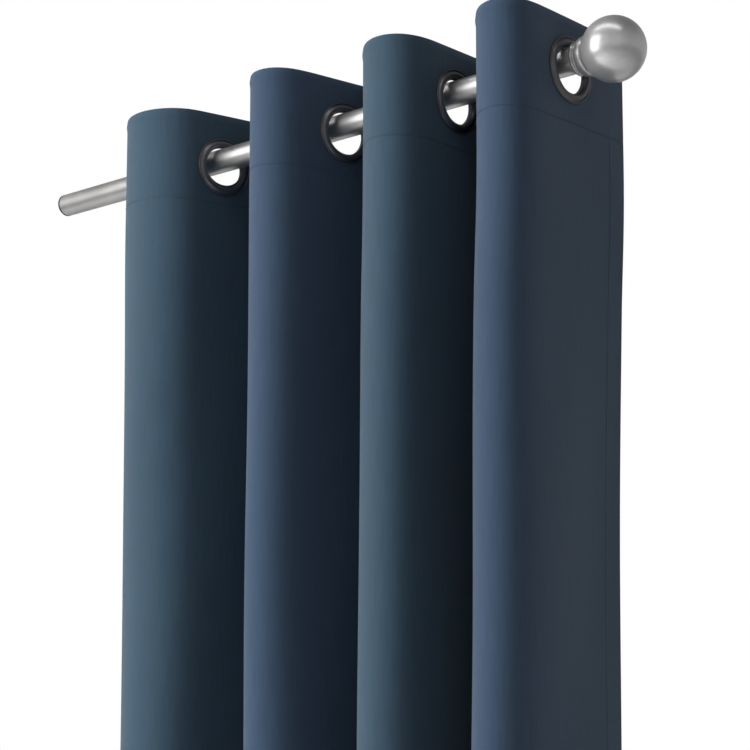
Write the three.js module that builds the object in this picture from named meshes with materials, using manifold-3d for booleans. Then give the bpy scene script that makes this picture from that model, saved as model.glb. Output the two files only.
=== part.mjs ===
// An eyelet curtain panel hung on a round metal rod with a ball finial.
// Millimetres. +X runs along the rod towards the finial, -Y faces the room and +Z is up.
// The origin lies on the rod's axis at the middle of its length, where a bracket would hold it.
import * as THREE from "three";
import { mergeVertices } from "three/addons/utils/BufferGeometryUtils.js";
import Module from "manifold-3d";

const wasm = await Module();
wasm.setup();

// Rod: a thin round tube, plugged at the far end.
const ROD_LENGTH = 750;
const ROD_DIAMETER = 25.4;
const ROD_WALL = 1.2;
const PLUG_HEAD_THICKNESS = 2;
const PLUG_SPIGOT_LENGTH = 14;

// Finial: a collar that slips over the rod's end, and a ball screwed to the collar by a stud.
const COLLAR_SOCKET_DEPTH = 9.5;
const COLLAR_WEB = 5.2;
const COLLAR_BEAD_DIAMETER = 32.5;
const COLLAR_BEAD_WIDTH = 4;
const COLLAR_GROOVE_DIAMETER = 29.6;
const COLLAR_GROOVE_WIDTH = 3.2;
const COLLAR_RING_DIAMETER = 37;
const BALL_DIAMETER = 60;
const BALL_NECK_DIAMETER = 35;
const BALL_NECK_STANDOFF = 24;
const STUD_DIAMETER = 6;
const STUD_DEPTH_IN_BALL = 14;
const STUD_TAIL = 1.5;
const GRUB_DIAMETER = 4;
const GRUB_SOCKET_ACROSS_FLATS = 2;
const GRUB_SOCKET_DEPTH = 2;

// Eyelets: two rings that snap together through a hole in the cloth, hung on the rod.
const EYELET_BORE = 44;
const EYELET_OUTER = 63;
const EYELET_BARREL_WALL = 1.2;
const EYELET_FLANGE_RISE = 3.2;
const EYELET_RIM_THICKNESS = 1.2;
const EYELET_BACK_THICKNESS = 2.4;

// Curtain: one length of cloth that swings round the rod from eyelet to eyelet.
const CLOTH_THICKNESS = 1.6;
const CLOTH_DROP = 1830;
const CLOTH_BETWEEN_EYELETS = 206;
const HEADER_RISE = 54;
const SIDE_TAIL = 82;
const SIDE_HEM_WIDTH = 25;
const SIDE_HEM_THICKNESS = 3.2;
// How far apart each eyelet stands from the next along the rod, from the far end to the finial.
const EYELET_GAPS = [129, 74, 107, 42, 105, 39, 95];
// How far each eyelet turns out of square with the rod, in degrees. The ends of a fold lean towards each other.
const EYELET_LEANS = [25, 13, 28, 12, 30, 0, 30, 1];

// Clearances.
const TOUCH_GAP = 0.3;
const COLLAR_CLEARANCE = 0.3;
const HANGING_CLEARANCE = 0.6;
const FINIAL_TO_EYELET = 5;
const RING_SEAT_MARGIN = 1.5;

// How finely curves are drawn.
const ROD_SIDES = 32;
const EYELET_SIDES = 24;
const SMALL_SIDES = 16;
const FOLD_STEPS = 20;
const FOLD_SOLVER_STEPS = 80;
const BALL_STEPS = 12;

const rodRadius = ROD_DIAMETER / 2;
const rodEnd = ROD_LENGTH / 2;
const boreRadius = EYELET_BORE / 2;
const eyeletRadius = EYELET_OUTER / 2;
const barrelRadius = boreRadius + EYELET_BARREL_WALL;
const halfCloth = CLOTH_THICKNESS / 2;
const faceRingDepth = halfCloth + TOUCH_GAP + EYELET_FLANGE_RISE;
// A leaning eyelet's bore crosses the rod at a slant, so it has to hang a little higher than a square one.
const slant = faceRingDepth * Math.tan(THREE.MathUtils.degToRad(Math.max(...EYELET_LEANS)));
const boreRoom = boreRadius * Math.cos(Math.PI / EYELET_SIDES) - rodRadius - HANGING_CLEARANCE;
const eyeletDrop = Math.sqrt(boreRoom ** 2 - slant ** 2);
const clothTop = HEADER_RISE - eyeletDrop;
const clothBottom = clothTop - CLOTH_DROP;
const collarMouth = rodEnd - COLLAR_SOCKET_DEPTH;
const collarLength = COLLAR_SOCKET_DEPTH + TOUCH_GAP + COLLAR_WEB;
const collarBore = rodRadius + COLLAR_CLEARANCE;

const satinNickel = new THREE.MeshStandardMaterial({ color: 0x9c9b99, roughness: 0.32, metalness: 1 });
const pewter = new THREE.MeshStandardMaterial({ color: 0x8a8987, roughness: 0.34, metalness: 1 });
const gunmetal = new THREE.MeshStandardMaterial({ color: 0x4a4a4d, roughness: 0.36, metalness: 1 });
const zincSteel = new THREE.MeshStandardMaterial({ color: 0x8f9296, roughness: 0.45, metalness: 1 });
const blackPlastic = new THREE.MeshStandardMaterial({ color: 0x1b1b1d, roughness: 0.6, metalness: 0 });
const slateCloth = new THREE.MeshStandardMaterial({ color: 0x394956, roughness: 0.95, metalness: 0 });

// A named mesh, placed in its group.
function addPiece(group, name, geometry, material) {
  const mesh = new THREE.Mesh(geometry, material);
  mesh.name = name;
  group.add(mesh);
  return mesh;
}

// A solid turned about the local Y axis from [radius, distance along the axis] pairs.
function turned(profile, sides) {
  const points = profile.map(([radius, along]) => new THREE.Vector2(radius, along));
  return new THREE.LatheGeometry(points, sides);
}

// A turned ring: its outline runs round the section and comes back to its first point.
function turnedRing(outline, sides) {
  return turned([...outline, outline[0]], sides);
}

// Rounded corner points from one angle to another, in degrees, about a centre.
function arcPoints(centreRadius, centreAlong, radius, from, to, steps) {
  const points = [];
  for (let i = 0; i <= steps; i++) {
    const angle = THREE.MathUtils.degToRad(from + ((to - from) * i) / steps);
    points.push([centreRadius + radius * Math.cos(angle), centreAlong + radius * Math.sin(angle)]);
  }
  return points;
}

// A closed geometry as a solid for cutting.
function solidFrom(geometry) {
  const bare = geometry.clone();
  bare.deleteAttribute("normal");
  bare.deleteAttribute("uv");
  const merged = mergeVertices(bare, 1e-4);
  const triVerts = new Uint32Array(merged.index.array);
  const vertProperties = merged.attributes.position.array;
  return new wasm.Manifold(new wasm.Mesh({ numProp: 3, vertProperties, triVerts }));
}

// A solid back as a geometry.
function geometryFrom(solid) {
  const mesh = solid.getMesh();
  const geometry = new THREE.BufferGeometry();
  geometry.setAttribute("position", new THREE.BufferAttribute(mesh.vertProperties, 3));
  geometry.setIndex(new THREE.BufferAttribute(mesh.triVerts, 1));
  geometry.computeVertexNormals();
  return geometry;
}

// The rod and the plug in its far end, turned along +X.
function buildRod() {
  const rod = new THREE.Group();
  rod.rotation.z = -Math.PI / 2;
  const inner = rodRadius - ROD_WALL;
  const tube = [[inner, -rodEnd], [rodRadius, -rodEnd], [rodRadius, rodEnd], [inner, rodEnd]];
  addPiece(rod, "rod_tube", turnedRing(tube, ROD_SIDES), satinNickel);

  const seat = -rodEnd - TOUCH_GAP;
  const spigot = inner - TOUCH_GAP;
  const plug = [
    [0, seat - PLUG_HEAD_THICKNESS],
    [rodRadius, seat - PLUG_HEAD_THICKNESS],
    [rodRadius, seat],
    [spigot, seat],
    [spigot, seat + PLUG_SPIGOT_LENGTH],
    [0, seat + PLUG_SPIGOT_LENGTH],
  ];
  addPiece(rod, "rod_end_plug", turned(plug, ROD_SIDES), blackPlastic);
  return rod;
}

// The collar's section: a thin bead at the mouth, a groove, then the wide ring with the screw in it.
function collarOutline() {
  const bead = COLLAR_BEAD_DIAMETER / 2;
  const groove = COLLAR_GROOVE_DIAMETER / 2;
  const ring = COLLAR_RING_DIAMETER / 2;
  const beadRound = COLLAR_BEAD_WIDTH / 2;
  const ringStart = COLLAR_BEAD_WIDTH + COLLAR_GROOVE_WIDTH;
  const ringRound = (collarLength - ringStart) / 3;
  const studHole = STUD_DIAMETER / 2 + TOUCH_GAP;
  return [
    [collarBore, 0],
    ...arcPoints(bead - beadRound, beadRound, beadRound, -90, 90, 4),
    [groove, COLLAR_BEAD_WIDTH],
    [groove, ringStart],
    ...arcPoints(ring - ringRound, ringStart + ringRound, ringRound, -90, 0, 2),
    ...arcPoints(ring - ringRound, collarLength - ringRound, ringRound, 0, 90, 2),
    [studHole, collarLength],
    [studHole, COLLAR_SOCKET_DEPTH + TOUCH_GAP],
    [collarBore, COLLAR_SOCKET_DEPTH + TOUCH_GAP],
  ];
}

const collarRingMiddle = (COLLAR_BEAD_WIDTH + COLLAR_GROOVE_WIDTH + COLLAR_SOCKET_DEPTH) / 2;

// The collar with the threaded hole for its grub screw, which points straight down.
function collarGeometry() {
  const body = solidFrom(turnedRing(collarOutline(), ROD_SIDES));
  const holeRadius = GRUB_DIAMETER / 2 + TOUCH_GAP;
  const hole = new THREE.CylinderGeometry(holeRadius, holeRadius, COLLAR_RING_DIAMETER / 2, SMALL_SIDES);
  hole.rotateX(Math.PI / 2);
  hole.translate(0, collarRingMiddle, -COLLAR_RING_DIAMETER / 2);
  return geometryFrom(body.subtract(solidFrom(hole)));
}

// The ball, with a short neck against the collar and a blind hole for the stud.
function ballOutline() {
  const centre = collarLength + TOUCH_GAP + BALL_NECK_STANDOFF;
  const holeRadius = STUD_DIAMETER / 2 + TOUCH_GAP;
  const face = collarLength + TOUCH_GAP;
  const neck = BALL_NECK_DIAMETER / 2;
  const shoulderAngle = -THREE.MathUtils.radToDeg(Math.acos((neck + BALL_DIAMETER / 2) / BALL_DIAMETER));
  return [
    [0, face + STUD_DEPTH_IN_BALL + TOUCH_GAP],
    [holeRadius, face + STUD_DEPTH_IN_BALL + TOUCH_GAP],
    [holeRadius, face],
    [neck, face],
    ...arcPoints(0, centre, BALL_DIAMETER / 2, shoulderAngle, 90, BALL_STEPS).slice(0, -1),
    [0, centre + BALL_DIAMETER / 2],
  ];
}

// A grub screw that stands on the local Y axis, with a hexagon socket in its outer end.
function grubGeometry(length) {
  const shank = new THREE.CylinderGeometry(GRUB_DIAMETER / 2, GRUB_DIAMETER / 2, length, SMALL_SIDES);
  const socketRadius = GRUB_SOCKET_ACROSS_FLATS / Math.sqrt(3);
  const socket = new THREE.CylinderGeometry(socketRadius, socketRadius, GRUB_SOCKET_DEPTH * 2, 6);
  socket.translate(0, length / 2, 0);
  return geometryFrom(solidFrom(shank).subtract(solidFrom(socket)));
}

// The finial on the rod's near end: collar, ball, stud and grub screw.
function buildFinial() {
  const finial = new THREE.Group();
  finial.position.x = collarMouth;
  const turnedPieces = new THREE.Group();
  turnedPieces.rotation.z = -Math.PI / 2;
  finial.add(turnedPieces);
  addPiece(turnedPieces, "finial_collar", collarGeometry(), pewter);
  addPiece(turnedPieces, "finial_ball", turned(ballOutline(), ROD_SIDES), pewter);

  const studStart = COLLAR_SOCKET_DEPTH + TOUCH_GAP - STUD_TAIL;
  const studEnd = collarLength + TOUCH_GAP + STUD_DEPTH_IN_BALL;
  const studLength = studEnd - studStart;
  const stud = new THREE.CylinderGeometry(STUD_DIAMETER / 2, STUD_DIAMETER / 2, studLength, SMALL_SIDES);
  const studPiece = addPiece(turnedPieces, "finial_stud", stud, zincSteel);
  studPiece.position.y = (studStart + studEnd) / 2;

  const grubTip = rodRadius + TOUCH_GAP;
  const grubHead = COLLAR_RING_DIAMETER / 2 - 2 * TOUCH_GAP;
  const screw = addPiece(finial, "finial_grub_screw", grubGeometry(grubHead - grubTip), zincSteel);
  screw.position.set(collarRingMiddle, 0, -(grubTip + grubHead) / 2);
  screw.rotation.x = -Math.PI / 2;
  return finial;
}

// The face ring: a domed flange and the barrel that goes through the cloth. Local +Y is the face side.
function faceRingOutline() {
  const seat = halfCloth + TOUCH_GAP;
  const crown = (boreRadius + eyeletRadius) / 2;
  const barrelEnd = -halfCloth - TOUCH_GAP - EYELET_BACK_THICKNESS;
  return [
    [eyeletRadius, seat],
    [eyeletRadius, seat + EYELET_RIM_THICKNESS],
    [crown + EYELET_RIM_THICKNESS, seat + EYELET_FLANGE_RISE],
    [crown - EYELET_RIM_THICKNESS, seat + EYELET_FLANGE_RISE],
    [boreRadius, seat + EYELET_RIM_THICKNESS],
    [boreRadius, barrelEnd],
    [barrelRadius, barrelEnd],
    [barrelRadius, seat],
  ];
}

// The back ring: a flat washer that snaps over the barrel.
function backRingOutline() {
  const seat = -halfCloth - TOUCH_GAP;
  const inner = barrelRadius + TOUCH_GAP;
  const back = seat - EYELET_BACK_THICKNESS;
  return [
    [inner, back],
    [eyeletRadius - EYELET_RIM_THICKNESS, back],
    [eyeletRadius, back + EYELET_RIM_THICKNESS],
    [eyeletRadius, seat],
    [inner, seat],
  ];
}

// The way an eyelet and its stretch of cloth turn about the vertical, in radians.
// Odd and even ones turn opposite ways, because the cloth goes forward at one and back at the next.
function leanTurn(number) {
  const lean = THREE.MathUtils.degToRad(EYELET_LEANS[number - 1]);
  return number % 2 === 0 ? -lean : lean;
}

// One eyelet. Face sides look right on even eyelets and left on odd ones, because the cloth turns over.
function buildEyelet(number, x) {
  const eyelet = new THREE.Group();
  eyelet.position.set(x, 0, -eyeletDrop);
  eyelet.rotation.z = (number % 2 === 0 ? -Math.PI / 2 : Math.PI / 2) + leanTurn(number);
  addPiece(eyelet, `eyelet_${number}_face_ring`, turnedRing(faceRingOutline(), EYELET_SIDES), gunmetal);
  addPiece(eyelet, `eyelet_${number}_back_ring`, turnedRing(backRingOutline(), EYELET_SIDES), gunmetal);
  return eyelet;
}

// The line of a bend as points [along the rod, out from the rod], found by walking along the cloth.
// Its direction swings from straight out to straight back, less the leans at its two ends.
// bulge widens the round end, and skew evens out two ends that lean differently.
function walkBend(length, leanLeft, leanRight, bulge, skew) {
  const from = Math.PI / 2 - leanLeft;
  const to = -(Math.PI / 2 - leanRight);
  const step = length / FOLD_SOLVER_STEPS;
  const points = [[0, 0]];
  for (let i = 0; i < FOLD_SOLVER_STEPS; i++) {
    const share = (i + 0.5) / FOLD_SOLVER_STEPS;
    const swing = from + (to - from) * share;
    const angle = swing + bulge * Math.sin(2 * Math.PI * share) + skew * Math.sin(Math.PI * share);
    const [along, out] = points[i];
    points.push([along + step * Math.cos(angle), out + step * Math.sin(angle)]);
  }
  return points;
}

// The value between low and high where a rising or falling measure reaches zero.
function solve(measure, low, high) {
  const rising = measure(high) > measure(low);
  while (high - low > 1e-7) {
    const middle = (low + high) / 2;
    if (measure(middle) > 0 === rising) high = middle;
    else low = middle;
  }
  return (low + high) / 2;
}

// The bend between two eyelets. The cloth between them always has the same length, so where
// they stand close together the fold is deep and its end swells.
function bendLine(gap, leanLeft, leanRight) {
  const seat = eyeletRadius + RING_SEAT_MARGIN + TOUCH_GAP;
  const length = CLOTH_BETWEEN_EYELETS - 2 * seat;
  const width = gap - seat * (Math.sin(leanLeft) + Math.sin(leanRight));
  const rise = seat * (Math.cos(leanRight) - Math.cos(leanLeft));
  const last = FOLD_SOLVER_STEPS;
  const levelSkew = (bulge) =>
    solve((skew) => walkBend(length, leanLeft, leanRight, bulge, skew)[last][1] - rise, -1.2, 1.2);
  const spare = (bulge) => walkBend(length, leanLeft, leanRight, bulge, levelSkew(bulge))[last][0] - width;
  const bulge = solve(spare, -0.9, 1.8);
  const points = walkBend(length, leanLeft, leanRight, bulge, levelSkew(bulge));
  const start = [seat * Math.sin(leanLeft), seat * Math.cos(leanLeft)];
  return points.map(([along, out]) => [start[0] + along, start[1] + out]);
}

// The fold between eyelet number and the next one. side is -1 for a fold at the front and +1 at the back.
function foldGeometry(number, side) {
  const [leanLeft, leanRight] = [number - 1, number].map((i) => THREE.MathUtils.degToRad(EYELET_LEANS[i]));
  const line = bendLine(EYELET_GAPS[number - 1], leanLeft, leanRight);
  const stride = FOLD_SOLVER_STEPS / FOLD_STEPS;
  const outer = [];
  const inner = [];
  for (let i = 0; i <= FOLD_STEPS; i++) {
    const [x, out] = line[i * stride];
    const before = line[Math.max(0, i * stride - 1)];
    const after = line[Math.min(FOLD_SOLVER_STEPS, i * stride + 1)];
    const run = Math.hypot(after[0] - before[0], after[1] - before[1]);
    const normal = [-(after[1] - before[1]) / run, (after[0] - before[0]) / run];
    outer.push(new THREE.Vector2(x + halfCloth * normal[0], side * (out + halfCloth * normal[1])));
    inner.push(new THREE.Vector2(x - halfCloth * normal[0], side * (out - halfCloth * normal[1])));
  }
  const outline = new THREE.Shape([...outer, ...inner.reverse()]);
  return new THREE.ExtrudeGeometry(outline, { depth: CLOTH_DROP, bevelEnabled: false });
}

// A flat stretch of cloth with the eyelet's hole in it, from its front edge to its back edge.
function flankGeometry(front, back) {
  const outline = new THREE.Shape();
  outline.moveTo(front, clothBottom);
  outline.lineTo(back, clothBottom);
  outline.lineTo(back, clothTop);
  outline.lineTo(front, clothTop);
  outline.closePath();
  const hole = new THREE.Path();
  hole.absarc(0, -eyeletDrop, barrelRadius + TOUCH_GAP, 0, 2 * Math.PI, true);
  outline.holes.push(hole);
  const options = { depth: CLOTH_THICKNESS, bevelEnabled: false, curveSegments: EYELET_SIDES };
  const geometry = new THREE.ExtrudeGeometry(outline, options);
  geometry.translate(0, 0, -halfCloth);
  return geometry;
}

// Where each eyelet hangs. The last one stands just clear of the finial.
function eyeletPlaces() {
  const places = [collarMouth - FINIAL_TO_EYELET - faceRingDepth];
  for (const gap of [...EYELET_GAPS].reverse()) places.unshift(places[0] - gap);
  return places;
}

// The hemmed edge at one end of the panel, behind the rod, on the stand of that end's flank.
function addSideHem(stand, name) {
  const geometry = new THREE.BoxGeometry(SIDE_HEM_THICKNESS, SIDE_HEM_WIDTH, CLOTH_DROP);
  const hem = addPiece(stand, name, geometry, slateCloth);
  hem.position.set(0, SIDE_TAIL - SIDE_HEM_WIDTH / 2, (clothTop + clothBottom) / 2);
}

// The curtain: a flank at each eyelet, the folds that join them, and a hem at each end.
function buildPanel(places) {
  const panel = new THREE.Group();
  const seat = eyeletRadius + RING_SEAT_MARGIN;
  const tailFlat = SIDE_TAIL - SIDE_HEM_WIDTH - TOUCH_GAP;
  places.forEach((x, i) => {
    const stand = new THREE.Group();
    stand.position.x = x;
    stand.rotation.z = leanTurn(i + 1);
    panel.add(stand);
    const atEnd = i === 0 || i === places.length - 1;
    const flank = addPiece(stand, `curtain_flank_${i + 1}`, flankGeometry(-seat, atEnd ? tailFlat : seat), slateCloth);
    flank.rotation.set(Math.PI / 2, Math.PI / 2, 0);
    if (i === 0) addSideHem(stand, "curtain_far_side_hem");
    if (i === places.length - 1) addSideHem(stand, "curtain_near_side_hem");
  });
  EYELET_GAPS.forEach((_, i) => {
    const side = i % 2 === 0 ? -1 : 1;
    const name = side < 0 ? `curtain_front_fold_${i / 2 + 1}` : `curtain_back_fold_${(i + 1) / 2}`;
    const fold = addPiece(panel, name, foldGeometry(i + 1, side), slateCloth);
    fold.position.set(places[i], 0, clothBottom);
  });
  return panel;
}

const places = eyeletPlaces();
const root = new THREE.Group();
root.add(buildRod());
root.add(buildFinial());
places.forEach((x, i) => root.add(buildEyelet(i + 1, x)));
root.add(buildPanel(places));

export default root;
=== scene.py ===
# %% [markdown]
# An eyelet curtain panel on a round rod with a ball finial.
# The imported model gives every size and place. This lesson makes the camera and the light,
# then the finishes, then each piece in turn, and last ties each piece to the body it moves with.

# %% Load the fixed frame
import math

import bpy
import numpy as np
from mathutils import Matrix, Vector


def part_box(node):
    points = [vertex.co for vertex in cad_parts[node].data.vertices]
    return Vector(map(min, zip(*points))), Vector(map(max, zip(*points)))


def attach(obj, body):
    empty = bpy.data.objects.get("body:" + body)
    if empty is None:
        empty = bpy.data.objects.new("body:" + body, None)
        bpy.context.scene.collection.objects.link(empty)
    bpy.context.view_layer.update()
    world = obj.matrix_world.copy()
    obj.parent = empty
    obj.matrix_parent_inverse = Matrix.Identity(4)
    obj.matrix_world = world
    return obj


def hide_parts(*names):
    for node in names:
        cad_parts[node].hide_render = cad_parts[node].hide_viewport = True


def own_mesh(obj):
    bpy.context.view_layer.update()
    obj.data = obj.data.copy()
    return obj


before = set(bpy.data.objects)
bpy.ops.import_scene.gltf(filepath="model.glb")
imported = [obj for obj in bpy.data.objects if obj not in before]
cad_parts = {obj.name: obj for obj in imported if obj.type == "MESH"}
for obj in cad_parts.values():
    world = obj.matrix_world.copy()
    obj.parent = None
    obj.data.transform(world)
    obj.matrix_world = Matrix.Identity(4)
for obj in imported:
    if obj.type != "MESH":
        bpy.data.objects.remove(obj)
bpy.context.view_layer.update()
MM = 0.001

# %% [markdown]
# Every place below comes from the boxes of the CAD nodes: where the finial's collar starts, how
# high the header stands and where the bottom hem is. From the collar the eyelets are stepped
# back along the rod, each by the gap that the drawn panel leaves, and each is turned a little
# out of square with the rod, as the cloth turns it.

# %% Places read from the frame
EYELETS = 8
EYELET_GAPS = [v * MM for v in (129, 74, 107, 42, 105, 39, 95)]
EYELET_LEANS = [math.radians(v) for v in (25, 13, 28, 12, 30, 0, 30, 1)]
FINIAL_TO_EYELET = 9.3 * MM


def middle(node):
    low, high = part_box(node)
    return (Vector(low) + Vector(high)) / 2


def span(node, axis):
    low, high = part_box(node)
    return low[axis], high[axis]


eyelet_x = [span("finial_collar", 0)[0] - FINIAL_TO_EYELET]
for gap in reversed(EYELET_GAPS):
    eyelet_x.insert(0, eyelet_x[0] - gap)
eyelet_z = middle("eyelet_1_face_ring").z
header_top = span("curtain_flank_1", 2)[1]
cloth_foot = span("curtain_flank_1", 2)[0]
rod_radius = (span("rod_tube", 1)[1] - span("rod_tube", 1)[0]) / 2
drift = max(abs(middle(f"curtain_flank_{k}").x - eyelet_x[k - 1]) for k in range(2, EYELETS))
print("eyelets along the rod (mm)", [round(x / MM) for x in eyelet_x], "drift (mm)", round(drift / MM, 3))

# %% [markdown]
# The camera comes first. It stands to the right of the panel and well below the rod, and looks
# slightly up, so the undersides of the eyelets and the rod show. A little vertical shift keeps
# the folds nearly upright in the frame, as a view camera would.

# %% Camera
CAMERA_PLACE = (1.2805, -1.2880, -0.5726)
CAMERA_AZIMUTH = 41.81
CAMERA_TILT = 7.66
CAMERA_LENS = 85.84
CAMERA_SHIFT = (-0.0123, 0.1023)

camera_data = bpy.data.cameras.new("studio_camera")
camera = bpy.data.objects.new("studio_camera", camera_data)
bpy.context.collection.objects.link(camera)
camera.location = CAMERA_PLACE
camera.rotation_euler = (math.radians(90 + CAMERA_TILT), 0, math.radians(CAMERA_AZIMUTH))
camera_data.lens = CAMERA_LENS
camera_data.sensor_width = 36
camera_data.shift_x, camera_data.shift_y = CAMERA_SHIFT
camera_data.clip_start = 0.05
bpy.context.scene.camera = camera
bpy.context.scene.view_settings.view_transform = "Standard"
print("camera at", CAMERA_PLACE)

# %% [markdown]
# The light is a plain studio. The key light and a wide window of soft light stand at the left
# and front, so each fold is bright down its left edge. A strip overhead draws a line of light
# along the rod and the ball, a weak light fills from the right, and one behind lights the
# back. The key and the back light don't show in the metal, where they would burn out.

# %% Lights
def soft_light(name, place, aim, width, height, watts):
    data = bpy.data.lights.new(name, "AREA")
    data.shape = "RECTANGLE"
    data.size, data.size_y, data.energy = width, height, watts
    light = bpy.data.objects.new(name, data)
    bpy.context.collection.objects.link(light)
    light.location = place
    light.rotation_mode = "QUATERNION"
    light.rotation_quaternion = (Vector(aim) - Vector(place)).to_track_quat("-Z", "Y")
    return light


key = soft_light("key_light", (-1.2, -2.77, 0.5), (0, 0, -0.4), 1.3, 2.4, 135)
key.visible_glossy = False
soft_light("window_light", (-1.5, -2.6, 0.6), (0, 0, -0.3), 2.4, 2.6, 52)
soft_light("top_light", (0.4, -0.75, 1.7), (0.3, 0, 0), 2.6, 0.4, 9)
soft_light("right_fill", (2.4, -1.6, 0.4), (0, 0, -0.4), 1.0, 1.8, 1)
back = soft_light("back_fill", (0.5, 2.6, 0.6), (0, 0, -0.6), 2.0, 2.0, 30)
back.visible_glossy = False

# %% [markdown]
# The room is white where the camera sees it. As a light it is dimmer, and dimmer still
# overhead, so that the dark cloth keeps its depth. One world does both, because a Light Path
# node tells the two kinds of ray apart.

# %% Room
ROOM_WHITE = 1.0
ROOM_LIGHT = 0.50
CEILING_LIGHT = 0.10
CEILING_HEIGHTS = (0.25, 0.95)
world = bpy.data.worlds.new("studio")
bpy.context.scene.world = world
world.use_nodes = True
room = world.node_tree
room.nodes.clear()
seen = room.nodes.new("ShaderNodeBackground")
lit = room.nodes.new("ShaderNodeBackground")
seen.inputs["Color"].default_value = (1, 1, 1, 1)
seen.inputs["Strength"].default_value = ROOM_WHITE
lit.inputs["Color"].default_value = (1, 1, 1, 1)
way = room.nodes.new("ShaderNodeTexCoord")
height = room.nodes.new("ShaderNodeSeparateXYZ")
dim = room.nodes.new("ShaderNodeMapRange")
dim.inputs["From Min"].default_value, dim.inputs["From Max"].default_value = CEILING_HEIGHTS
dim.inputs["To Min"].default_value, dim.inputs["To Max"].default_value = ROOM_LIGHT, CEILING_LIGHT
room.links.new(way.outputs["Generated"], height.inputs[0])
room.links.new(height.outputs["Z"], dim.inputs["Value"])
room.links.new(dim.outputs[0], lit.inputs["Strength"])
ray = room.nodes.new("ShaderNodeLightPath")
either = room.nodes.new("ShaderNodeMixShader")
out = room.nodes.new("ShaderNodeOutputWorld")
room.links.new(ray.outputs["Is Camera Ray"], either.inputs["Fac"])
room.links.new(lit.outputs[0], either.inputs[1])
room.links.new(seen.outputs[0], either.inputs[2])
room.links.new(either.outputs[0], out.inputs["Surface"])
print("room", ROOM_WHITE, "as a light", ROOM_LIGHT, "to", CEILING_LIGHT)

# %% [markdown]
# The floor is a plain pale plane just under the hem. A short floor would end in a hard line
# against the room, so this one is very large, and for the camera it fades into the room's
# white between two distances from the panel.

# %% Floor
FLOOR_GAP = 0.012
FLOOR_SIZE = 90
FLOOR_FADE = (1.2, 4.0)
FLOOR_PAINT = (0.8, 0.8, 0.8, 1)
FLOOR_ROUGHNESS = 0.8
bpy.ops.mesh.primitive_plane_add(size=FLOOR_SIZE, location=(0, 0, cloth_foot - FLOOR_GAP))
floor = bpy.context.object
floor.name = "pale_floor"
floor_finish = bpy.data.materials.new("pale_floor")
floor_finish.use_nodes = True
paint = floor_finish.node_tree
near = paint.nodes["Principled BSDF"]
near.inputs["Base Color"].default_value = FLOOR_PAINT
near.inputs["Roughness"].default_value = FLOOR_ROUGHNESS
spot = paint.nodes.new("ShaderNodeTexCoord")
reach = paint.nodes.new("ShaderNodeVectorMath")
reach.operation = "LENGTH"
fade = paint.nodes.new("ShaderNodeMapRange")
fade.interpolation_type = "SMOOTHSTEP"
fade.inputs["From Min"].default_value, fade.inputs["From Max"].default_value = FLOOR_FADE
eye = paint.nodes.new("ShaderNodeLightPath")
amount = paint.nodes.new("ShaderNodeMath")
amount.operation = "MULTIPLY"
far = paint.nodes.new("ShaderNodeEmission")
blend = paint.nodes.new("ShaderNodeMixShader")
paint.links.new(spot.outputs["Object"], reach.inputs[0])
paint.links.new(reach.outputs["Value"], fade.inputs["Value"])
paint.links.new(fade.outputs[0], amount.inputs[0])
paint.links.new(eye.outputs["Is Camera Ray"], amount.inputs[1])
paint.links.new(amount.outputs[0], blend.inputs["Fac"])
paint.links.new(near.outputs[0], blend.inputs[1])
paint.links.new(far.outputs[0], blend.inputs[2])
paint.links.new(blend.outputs[0], paint.nodes["Material Output"].inputs["Surface"])
floor.data.materials.append(floor_finish)
print("floor at (mm)", round((cloth_foot - FLOOR_GAP) / MM))

# %% [markdown]
# Finishes are built from nodes. The two effects with the most parts are node groups with named
# inputs: a woven surface for the cloth, and the fine drawn lines and smudges that satin metal
# keeps, which four finishes share. A small helper adds a node with its settings and links:
# an input is given by its name, or as i and its number where the name is used twice.

# %% Node helpers
def add_node(tree, kind, settings=(), **inputs):
    node = tree.nodes.new(kind)
    for key, value in dict(settings).items():
        setattr(node, key, value)
    for key, value in inputs.items():
        socket = node.inputs[int(key[1:]) if key.startswith("i") else key.replace("_", " ")]
        if isinstance(value, bpy.types.NodeSocket):
            tree.links.new(value, socket)
        else:
            socket.default_value = value
    return node


def new_group(name, inputs, outputs):
    group = bpy.data.node_groups.new(name, "ShaderNodeTree")
    for label, kind, value in inputs:
        socket = group.interface.new_socket(label, in_out="INPUT", socket_type=kind)
        if value is not None:
            socket.default_value = value
    for label, kind in outputs:
        group.interface.new_socket(label, in_out="OUTPUT", socket_type=kind)
    return group, group.nodes.new("NodeGroupInput"), group.nodes.new("NodeGroupOutput")


def new_finish(name):
    material = bpy.data.materials.new(name)
    material.use_nodes = True
    return material, material.node_tree, material.node_tree.nodes["Principled BSDF"]


print("helpers ready")

# %% [markdown]
# Blackout cloth is a close satin weave: fine ribs across, finer threads down, and here and
# there a thicker thread. The group works on a map in metres that follows the cloth, so the
# weave turns with every fold.

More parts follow.
